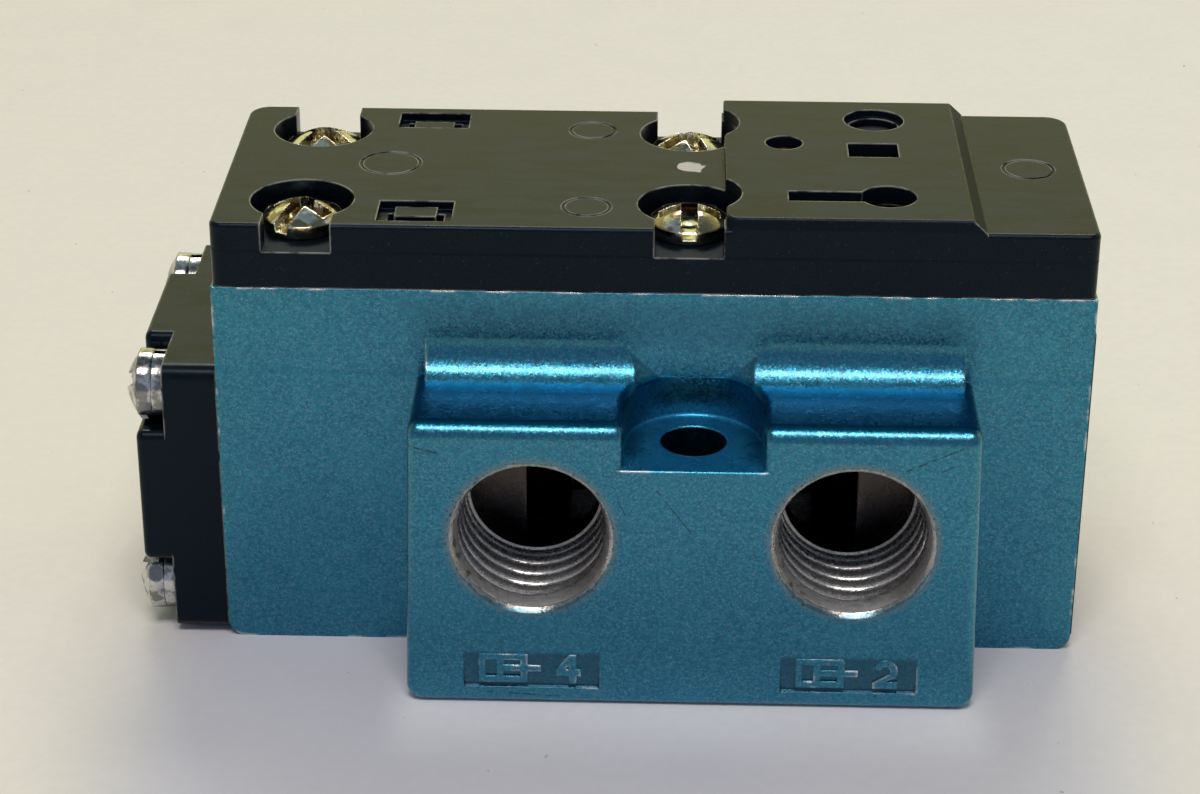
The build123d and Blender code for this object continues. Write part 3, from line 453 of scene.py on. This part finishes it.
def winding_finish():
    """Enamelled copper wire, wound in fine turns along X."""
    f = Finish("copper_finish")
    half_turn = 0.11 * MM
    height = f.math("DIVIDE", f.math("PINGPONG", f.axes()[0], half_turn), half_turn)
    shade = f.mix(f.noise(1.5 * MM, 3), (0.50, 0.17, 0.07), (0.62, 0.25, 0.11))
    f.set(Base_Color=shade, Metallic=0.9, Roughness=f.ramp(height, 0, 1, 0.5, 0.25))
    f.set(Normal=f.bump(height, 0.05 * MM))
    return f.material


def board_finish():
    """Circuit board: green lacquer over copper tracks that run along X."""
    f = Finish("board_finish")
    lanes = f.math("PINGPONG", f.axes()[1], 1.1 * MM)
    track = f.ramp_mm(lanes, 0.30, 0.36, 1.0, 0.0)
    shade = f.mix(track, (0.012, 0.085, 0.030), (0.030, 0.17, 0.055))
    shade = f.mix(f.product(f.noise(1.0 * MM, 3), 0.3), shade, (0.02, 0.10, 0.04))
    f.set(Base_Color=shade, Roughness=0.35, Normal=f.bump(track, 0.03 * MM))
    return f.material


def lens_finish():
    """Smoked, slightly red clear plastic of the indicator."""
    f = Finish("lens_finish")
    shade = f.mix(f.noise(0.6 * MM, 2), (0.16, 0.05, 0.04), (0.30, 0.10, 0.08))
    rough = f.ramp(f.noise(0.4 * MM), 0.3, 0.7, 0.08, 0.2)
    f.set(Base_Color=shade, Roughness=rough, Normal=f.soft_edges(0.1 * MM))
    f.set(Transmission_Weight=0.5, IOR=1.49)
    return f.material


def thread_finish():
    """Cut aluminium thread: bright bands, painted shade in the grooves and the depths, a little rust at the
    mouth.
    """
    f = Finish("thread_finish")
    y = f.axes()[1]
    marks = f.noise(0.35 * MM, 4)
    shade = f.mix(marks, (0.74, 0.75, 0.76), (0.98, 0.99, 0.99))
    # Rust at the mouth's left side, and a faint brown tint on the right
    rust = f.product(f.ramp(f.noise(0.8 * MM, 4, shift=3), 0.52, 0.64), f.ramp_mm(y, -23.4, -24.2))
    rust = f.product(rust, f.product(f.ramp_mm(beside_port(f, -6.2), 3.0, 1.5), 0.8))
    shade = f.mix(rust, shade, (0.30, 0.17, 0.07))
    shade = f.mix(f.ramp_mm(beside_port(f, 5.2), 3, 0.5, 0, 0.45), shade, (0.30, 0.22, 0.17))
    grime = f.ramp(f.noise(0.22 * MM, 3, shift=7), 0.64, 0.70)
    shade = f.mix(f.product(grime, 0.7), shade, (0.05, 0.045, 0.04))
    # Painted shade darkens the grooves, which lie outside the tapering crests
    run_in = f.math("SUBTRACT", y, boss_front_y + 2.0 * MM)
    crest = f.math("SUBTRACT", bevel_radius, f.product(run_in, thread_taper))
    groove = f.ramp_mm(f.math("SUBTRACT", port_gap(f), crest), 0.20, 0.32)
    groove = f.product(groove, f.ramp_mm(y, -23.3, -22.9))
    shade = f.mix(f.product(groove, 0.96), shade, (0.006, 0.006, 0.007))
    # Painted shade deeper in the bore
    shade = f.mix(f.ramp_mm(y, -16.6, -15.6), shade, (0.030, 0.030, 0.032))
    rough = f.ramp(f.noise(0.5 * MM, 3, shift=5), 0.3, 0.7, 0.18, 0.32)
    rough = f.math("ADD", rough, f.product(f.ramp_mm(y, -23.3, -23.7), 0.12))
    f.set(Base_Color=shade, Metallic=0.9, Roughness=rough, Normal=f.bump(marks, 0.010 * MM))
    return f.material


along_x = (1, 0.2, 0.2)
finishes = {
    "body_paint": paint_finish("body_paint_finish", 0.6),
    "black_plastic": plastic_finish(
        "black_plastic_finish", (0.0010, 0.0028, 0.0060), (0.48, 0.48, 0.44), 0.29, cover_marks
    ),
    "housing_plastic": plastic_finish("housing_plastic_finish", (0.11, 0.11, 0.12), (0.2, 0.2, 0.2), 0.45),
    "bobbin_plastic": plastic_finish("bobbin_plastic_finish", (0.30, 0.28, 0.22), (0.4, 0.38, 0.3), 0.45),
    "header_plastic": plastic_finish("header_plastic_finish", (0.014, 0.014, 0.016), (0.1, 0.1, 0.1), 0.4),
    "component": plastic_finish("component_finish", (0.02, 0.02, 0.022), (0.1, 0.1, 0.1), 0.3),
    "yellow_zinc": plated_finish(
        "yellow_zinc_finish", (0.90, 0.88, 0.77), (0.34, 0.25, 0.12), (0.05, 0.032, 0.016), 0.08, 0.3
    ),
    "bright_zinc": plated_finish(
        "bright_zinc_finish", (0.60, 0.61, 0.60), (0.20, 0.20, 0.19), (0.03, 0.03, 0.028), 0.14, 0.5
    ),
    "steel": machined_finish("steel_finish", (0.50, 0.49, 0.47), 0.14, along_x),
    "spring_steel": machined_finish("spring_steel_finish", (0.36, 0.36, 0.37), 0.22),
    "magnet_steel": machined_finish("magnet_steel_finish", (0.58, 0.58, 0.58), 0.2, along_x),
    "aluminium": machined_finish("aluminium_finish", (0.72, 0.72, 0.73), 0.25, along_x),
    "brass": machined_finish("brass_finish", (0.74, 0.53, 0.22), 0.2),
    "copper": winding_finish(),
    "rubber": rubber_finish(),
    "board": board_finish(),
    "lens": lens_finish(),
    "thread": thread_finish(),
    "mark_paint": paint_finish("mark_paint_finish", 0.0),
}


# --- Mesh helpers -------------------------------------------------------------------------


def skin(name, rows, slot, finish=None, closed=False, sharp=35):
    """A solid from rows of points: a ring through every row, joined end to end or capped."""
    count, turns = rows.shape[:2]
    faces = []
    for i in range(count if closed else count - 1):
        a, b = i * turns, (i + 1) % count * turns
        for j in range(turns):
            k = (j + 1) % turns
            faces.append((a + j, a + k, b + k, b + j))
    if not closed:
        faces.append(tuple(range(turns))[::-1])
        faces.append(tuple(range((count - 1) * turns, count * turns)))
    mesh = bpy.data.meshes.new(name)
    mesh.from_pydata([tuple(point) for point in rows.reshape(-1, 3)], [], faces)
    return finish_piece(name, mesh, finish or slot, sharp)


def finish_piece(name, mesh, finish, sharp):
    """Turns faces outwards, smooths the shading, sets the material and rides on the valve."""
    work = bmesh.new()
    work.from_mesh(mesh)
    bmesh.ops.remove_doubles(work, verts=work.verts, dist=1e-7)
    bmesh.ops.recalc_face_normals(work, faces=work.faces)
    work.to_mesh(mesh)
    work.free()
    mesh.polygons.foreach_set("use_smooth", [True] * len(mesh.polygons))
    mesh.set_sharp_from_angle(angle=math.radians(sharp))
    mesh.materials.append(finishes[finish])
    piece = bpy.data.objects.new(name, mesh)
    bpy.context.scene.collection.objects.link(piece)
    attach(piece, ROOT)
    return piece


def smooth(value):
    """A smooth step from 0 to 1, by share."""
    share = np.clip(value, 0, 1)
    return share * share * (3 - 2 * share)


# --- Threads in the ports -----------------------------------------------------------------


def port_thread(name, place):
    """The cut thread that lines a port: a wide bevel, helical bands, then a smooth dark bore."""
    turns, steps = 160, 84
    mouth_depth = 0.36 * MM
    bevel_depth = 1.5 * MM
    thread_length = 7.2 * MM
    pitch = 1.73 * MM
    groove = 0.55 * MM
    bore_radius = 5.85 * MM
    floor_depth = 11.4 * MM
    lean_depth = 9 * MM  # the lining follows the face's lean at its mouth, and is upright from here
    outer = port_radius - 0.01 * MM
    angle = np.arange(turns) * FULL_TURN / turns
    rows = [(mouth_depth, outer - 0.02 * MM), (bevel_depth, bevel_radius)]
    for step in range(steps):
        run_in = thread_length * (step + 0.5) / steps
        phase = np.mod(run_in / pitch + angle / FULL_TURN, 1.0)
        cut = groove * (1 - np.abs(np.sin(math.pi * phase)) ** 0.35)
        fade = smooth(run_in / (0.5 * pitch)) * smooth((thread_length - run_in) / (0.4 * pitch))
        rows.append((bevel_depth + run_in, bevel_radius - thread_taper * run_in + cut * fade))
    thread_end = bevel_depth + thread_length + 0.25 * MM
    rows += [(thread_end, bore_radius + 0.25 * MM), (thread_end + 0.05 * MM, bore_radius)]
    rows += [(floor_depth, bore_radius), (floor_depth, outer), (mouth_depth, outer)]
    points = np.zeros((len(rows), turns, 3))
    for row, (depth, radius) in zip(points, rows):
        row[:, 0] = place.x + radius * np.cos(angle)
        row[:, 2] = place.z + radius * np.sin(angle)
        upright = min(1.0, depth / lean_depth)
        row[:, 1] = face_y((1 - upright) * row[:, 2] + upright * place.z) + depth
    return skin(name, points, "aluminium", "thread", closed=True)


for port_name, port_place in port_places.items():
    port_thread(f"{port_name}_thread", port_place)


# --- Screws -------------------------------------------------------------------------------


def screw(name, centre, axis, turn, radius, height, length, plating):
    """A domed pan head screw with a deep cross and a full-width slot."""
    turns = 144
    shank = 1.75 * MM
    drive_width = 0.40 * radius
    cross_reach = 0.74 * radius
    cross_depth = 0.80 * height
    slot_depth = 0.58 * height
    soft = 0.09 * MM
    # From the top: the dome, a hairline groove at its rim, the side, the underside and the shank
    dome = [
        (radius * share, height - 0.50 * height * (1 - math.cos(share * math.pi / 2)))
        for share in np.linspace(0, 0.985, 46)
    ]
    rim = dome[-1][1]
    groove = [
        (radius * math.cos(a), rim - (rim - 0.35 * height) * math.sin(a) ** 0.8)
        for a in np.linspace(0.12, 0.0, 4)
    ]
    side = [(radius, 0.30 * height), (0.985 * radius, 0.06 * height), (0.95 * radius, 0.0)]
    stem = [(shank, 0.0), (shank, -length + 0.3 * MM), (shank - 0.3 * MM, -length)]
    profile = dome + groove + side + stem
    angle = np.arange(turns) * FULL_TURN / turns
    points = np.zeros((len(profile), turns, 3))
    for row, (r, z) in zip(points, profile):
        r = max(r, 0.004 * MM)
        u, v = r * np.cos(angle), r * np.sin(angle)
        depth = np.zeros(turns)
        if z > 0:
            taper = 1 - 0.35 * np.clip(np.hypot(u, v) / cross_reach, 0, 1)
            for across, along in ((u, v), (v, u)):
                wall = smooth((drive_width / 2 - np.abs(across)) / soft + 0.5)
                end = smooth((cross_reach - np.abs(along)) / (3 * soft) + 0.5)
                depth = np.maximum(depth, cross_depth * taper * wall * end)
            slot_wall = smooth((drive_width / 2 - np.abs(v)) / soft + 0.5)
            depth = np.maximum(depth, slot_depth * slot_wall)
        row[:, 0] = u
        row[:, 1] = v
        row[:, 2] = np.maximum(z - depth, min(z, 0.22 * height))
    place = Matrix.Translation(centre) @ axis.to_track_quat("Z", "Y").to_matrix().to_4x4()
    place = np.array(place @ Matrix.Rotation(math.radians(turn), 4, "Z"))
    return skin(name, points @ place[:3, :3].T + place[:3, 3], plating, sharp=50)


def along(node, axis, inset):
    """Where the centres of a node's two rows of screws are along an axis."""
    low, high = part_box(node)
    return low[axis] + inset, high[axis] - inset


head_radius, head_height = 3.43 * MM, 2.46 * MM
cover_turns = {"left": (62, -38), "right": (90, 24)}
for end, x in zip(("left", "right"), along("cover_screws", 0, head_radius)):
    for side, y, turn in zip(("front", "back"), along("cover_screws", 1, head_radius), cover_turns[end]):
        name = f"cover_screw_{end}_{side}"
        place, up = Vector((x, y, screw_ledge * MM)), Vector((0, 0, 1))
        made = screw(name, place, up, turn, head_radius, head_height, 10.5 * MM, "yellow_zinc")
        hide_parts("cover_screws")

head_radius, head_height = 3.2 * MM, 2.6 * MM
seat_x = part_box("left_cap_screws")[0].x + head_height
cap_turns = {"low": (57, 94), "high": (131, 168)}
for level, z in zip(("low", "high"), along("left_cap_screws", 2, head_radius)):
    for side, y, turn in zip(("front", "back"), along("left_cap_screws", 1, head_radius), cap_turns[level]):
        name = f"cap_screw_{level}_{side}"
        place, outwards = Vector((seat_x, y, z)), Vector((-1, 0, 0))
        made = screw(name, place, outwards, turn, head_radius, head_height, 14 * MM, "bright_zinc")
        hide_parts("left_cap_screws")


# --- Springs ------------------------------------------------------------------------------


def coil_spring(node, axis, wire, turns):
    """A helical wire in place of a CAD spring."""
    low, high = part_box(node)
    across, aside = (axis + 1) % 3, (axis + 2) % 3
    centre = (low + high) / 2
    length = high[axis] - low[axis]
    coil_radius = (high[across] - low[across]) / 2 - wire
    steps, sides = int(turns * 36), 12
    climb = (length - 2 * wire) / (FULL_TURN * turns)
    tilt = math.atan2(climb, coil_radius)
    angle = np.arange(sides) * FULL_TURN / sides
    out, up = wire * np.cos(angle), wire * np.sin(angle)
    radius, swing = coil_radius + out, -up * math.sin(tilt)
    points = np.zeros((steps + 1, sides, 3))
    for row, share in zip(points, np.linspace(0, 1, steps + 1)):
        turn = FULL_TURN * turns * share
        row[:, axis] = low[axis] + wire + (length - 2 * wire) * share + up * math.cos(tilt)
        row[:, across] = centre[across] + radius * math.cos(turn) - swing * math.sin(turn)
        row[:, aside] = centre[aside] + radius * math.sin(turn) + swing * math.cos(turn)
    coil = skin(f"{node}_coil", points, "spring_steel", sharp=60)
    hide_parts(node)
    anchor = list(centre)
    anchor[axis] = low[axis]
    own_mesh(coil)


coil_spring("return_spring", 0, 0.6 * MM, 6.5)
coil_spring("armature_spring", 0, 0.2 * MM, 9)
coil_spring("override_spring", 2, 0.25 * MM, 5)


# --- Raised port marks --------------------------------------------------------------------


def raised_mark(name, loops, centre_x, low_z):
    """Flat shapes with bevelled edges, raised in a label window and level with the boss's face."""
    curve = bpy.data.curves.new(name, "CURVE")
    curve.dimensions = "2D"
    curve.fill_mode = "BOTH"
    curve.extrude = 0.16 * MM
    curve.bevel_depth = 0.07 * MM
    curve.bevel_resolution = 1
    for loop in loops:
        spline = curve.splines.new("POLY")
        spline.points.add(len(loop) - 1)
        for point, (u, v) in zip(spline.points, loop):
            point.co = (u * MM, v * MM, 0, 1)
        spline.use_cyclic_u = True
    drawn = bpy.data.objects.new(name, curve)
    bpy.context.scene.collection.objects.link(drawn)
    bpy.context.view_layer.update()
    mesh = bpy.data.meshes.new_from_object(drawn.evaluated_get(bpy.context.evaluated_depsgraph_get()))
    bpy.data.objects.remove(drawn)
    place = Matrix.Translation((centre_x, face_y(low_z) + 0.19 * MM, low_z))
    mesh.transform(place @ Matrix.Rotation(math.radians(90) - boss_lean, 4, "X"))
    mesh.materials.clear()
    return finish_piece(name, mesh, "mark_paint", sharp=40)


def box_loop(u0, v0, u1, v1):
    """The corners of a rectangle."""
    return [(u0, v0), (u1, v0), (u1, v1), (u0, v1)]


def arc(centre, radius, start, end, steps=10):
    """Points on an arc, with its angles in degrees."""
    sweep = [math.radians(start + (end - start) * i / steps) for i in range(steps + 1)]
    return [(centre[0] + radius * math.cos(a), centre[1] + radius * math.sin(a)) for a in sweep]


def cylinder_symbol(u, v, width, height, line):
    """The plain drawing symbol of an air cylinder: a barrel, a piston and a rod."""
    right, top = u + width, v + height
    piston = u + 0.38 * width
    rod_low = v + height / 2 - line / 2
    rod_high = rod_low + line
    rod_end = right + 0.28 * width
    outline = [(u, v), (right, v), (right, rod_low), (rod_end, rod_low), (rod_end, rod_high)]
    outline += [(right, rod_high), (right, top), (u, top)]
    holes = [
        box_loop(u + line, v + line, piston, top - line),
        box_loop(piston + line, v + line, right - line, rod_low),
        box_loop(piston + line, rod_high, right - line, top - line),
    ]
    return [outline] + holes


def digit_two(u, v, width, height, line):
    """A figure 2 drawn as one outline."""
    radius = width / 2
    centre = (u + radius, v + height - radius)
    outer = arc(centre, radius, 165, -38)
    inner = arc(centre, radius - line, -38, 165)
    outline = outer + [(u + 1.35 * line, v + line), (u + width, v + line), (u + width, v), (u, v)]
    return [outline + [(u, v + 0.85 * line)] + inner]


def digit_four(u, v, width, height, line):
    """A figure 4 drawn as one outline with a triangular hole."""
    bar = v + 0.26 * height
    stem = u + width - 1.7 * line
    top = v + height
    outline = [(stem, v), (stem + line, v), (stem + line, bar), (u + width, bar), (u + width, bar + line)]
    outline += [(stem + line, bar + line), (stem + line, top), (stem, top), (u, bar + line), (u, bar)]
    outline += [(stem, bar)]
    hole = [(u + 1.1 * line, bar + line), (stem, bar + line), (stem, top - 1.5 * line)]
    return [outline, hole]


mark_height = 2.75
for port_name, digit in (("port_a", digit_four), ("port_b", digit_two)):
    loops = cylinder_symbol(-4.6, 0, 4.2, mark_height, 0.5)
    loops += digit(2.2, 0, 2.1, mark_height, 0.56)
    raised_mark(f"{port_name}_mark", loops, port_places[port_name].x, 2.2 * MM)


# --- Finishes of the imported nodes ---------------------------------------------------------

for node in frame["nodes"].values():
    for holder in node.material_slots:
        slot_name = holder.material.name.split(".")[0]
        holder.material = finishes[slot_name]


# --- Stage --------------------------------------------------------------------------------


def backdrop():
    """A wide pale floor, cooler and darker in the valve's soft shadow towards the camera."""
    half = 3.0
    mesh = bpy.data.meshes.new("floor")
    corners = [(-half, -half, 0), (half, -half, 0), (half, half, 0), (-half, half, 0)]
    mesh.from_pydata(corners, [], [(0, 1, 2, 3)])
    f = Finish("floor_finish")
    x, y, _ = f.axes()
    shadow = f.product(
        f.ramp_mm(f.gap(x, -2 * MM), 36, 50, 1.0, 0.0),
        f.ramp_mm(y, 5, -16),
        f.ramp_mm(y, -130, -60),
    )
    shade = f.mix(shadow, (0.80, 0.785, 0.73), (0.67, 0.67, 0.745))
    # Painted light: the boss's bounce on the floor at its foot, and a floor brighter to the right
    foot = f.product(
        f.ramp_mm(f.gap(x, boss_centre_x), 28, 24),
        f.ramp_mm(y, -37, -26, 0.0, 0.75),
        f.ramp_mm(y, -18, -24),
    )
    shade = f.mix(foot, shade, (0.95, 0.96, 1.0))
    shade = f.mix(f.ramp_mm(x, -120, 120, 0.0, 0.28), shade, (0.95, 0.95, 0.92))
    # Paper grain and a few dark flecks
    fine, coarse = f.noise(1.3 * MM, 4), f.noise(9 * MM, 3)
    grain = f.math("ADD", f.product(fine, 0.6), f.product(coarse, 0.4))
    shade = f.mix(f.ramp(grain, 0.4, 0.6, 0.0, 0.05), shade, (0.4, 0.4, 0.42))
    flecks = f.ramp(f.noise(0.9 * MM, 2, (1, 0.5, 1), 3.0), 0.775, 0.80)
    shade = f.mix(f.product(flecks, 0.5), shade, (0.18, 0.18, 0.2))
    f.set(Base_Color=shade, Roughness=0.8, Specular_IOR_Level=0.1)
    f.set(Normal=f.bump(f.noise(1.6 * MM, 4), 0.03 * MM))
    mesh.materials.append(f.material)
    floor = bpy.data.objects.new("floor", mesh)
    bpy.context.scene.collection.objects.link(floor)


def softbox(name, place, aim, size, power, colour):
    """A soft rectangular studio light that faces a point."""
    light = bpy.data.lights.new(name, "AREA")
    light.shape = "RECTANGLE"
    light.size, light.size_y = size
    light.energy = power
    light.color = colour
    lamp = bpy.data.objects.new(name, light)
    lamp.location = place
    lamp.rotation_euler = (Vector(aim) - Vector(place)).to_track_quat("-Z", "Y").to_euler()
    bpy.context.scene.collection.objects.link(lamp)


def room_light():
    """Dim surroundings: warm and olive behind the valve, cool on the camera's side, dark above."""
    world = bpy.data.worlds.new("room")
    world.use_nodes = True
    tree = world.node_tree
    tree.nodes.clear()
    place = tree.nodes.new("ShaderNodeTexCoord")
    split = tree.nodes.new("ShaderNodeSeparateXYZ")
    tree.links.new(place.outputs["Generated"], split.inputs[0])
    front, back, shade_above = (0.27, 0.30, 0.385, 1), (0.71, 0.69, 0.31, 1), (0.12, 0.17, 0.20, 1)
    sides = tree.nodes.new("ShaderNodeMapRange")
    tree.links.new(split.outputs["Y"], sides.inputs[0])
    heights = tree.nodes.new("ShaderNodeMapRange")
    tree.links.new(split.outputs["Z"], heights.inputs[0])
    for spread, low, high in ((sides, -0.3, 0.6), (heights, 0.55, 0.85)):
        spread.inputs[1].default_value, spread.inputs[2].default_value = low, high
    level = tree.nodes.new("ShaderNodeMix")
    whole = tree.nodes.new("ShaderNodeMix")
    for blend in (level, whole):
        blend.data_type = "RGBA"
    level.inputs[6].default_value, level.inputs[7].default_value = front, back
    whole.inputs[7].default_value = shade_above
    tree.links.new(sides.outputs[0], level.inputs[0])
    tree.links.new(level.outputs[2], whole.inputs[6])
    tree.links.new(heights.outputs[0], whole.inputs[0])
    shader = tree.nodes.new("ShaderNodeBackground")
    output = tree.nodes.new("ShaderNodeOutputWorld")
    tree.links.new(whole.outputs[2], shader.inputs[0])
    tree.links.new(shader.outputs[0], output.inputs[0])
    bpy.context.scene.world = world


backdrop()
room_light()
softbox("window", (0.0, 1.20, 1.33), (0, 0, 0), (1.0, 0.45), 13.0, (1.0, 0.93, 0.84))
softbox("overhead", (0.0, -0.33, 0.72), (0, 0, 0), (0.36, 0.20), 2.6, (1.0, 0.89, 0.83))
bpy.context.scene.view_settings.view_transform = "Standard"

# --- Camera -------------------------------------------------------------------------------

# It looks down on the port side from a little to the right, with a slight roll
pitch = math.radians(26.11)
yaw = math.radians(-1.49)
roll = math.radians(0.25)
lens = bpy.data.cameras.new("camera")
lens.lens = 88.69
lens.sensor_width = 36.0
lens.clip_start = 0.01
camera = bpy.data.objects.new("camera", lens)
camera.location = Vector((1.563, -248.468, 139.675)) * MM
forward = Vector((math.sin(yaw) * math.cos(pitch), math.cos(yaw) * math.cos(pitch), -math.sin(pitch)))
level = Vector((math.cos(yaw), -math.sin(yaw), 0))
upward = level.cross(forward)
across = math.cos(roll) * level + math.sin(roll) * upward
top = across.cross(forward)
camera.rotation_euler = Matrix((across, top, -forward)).transposed().to_euler()
bpy.context.scene.collection.objects.link(camera)
bpy.context.scene.camera = camera
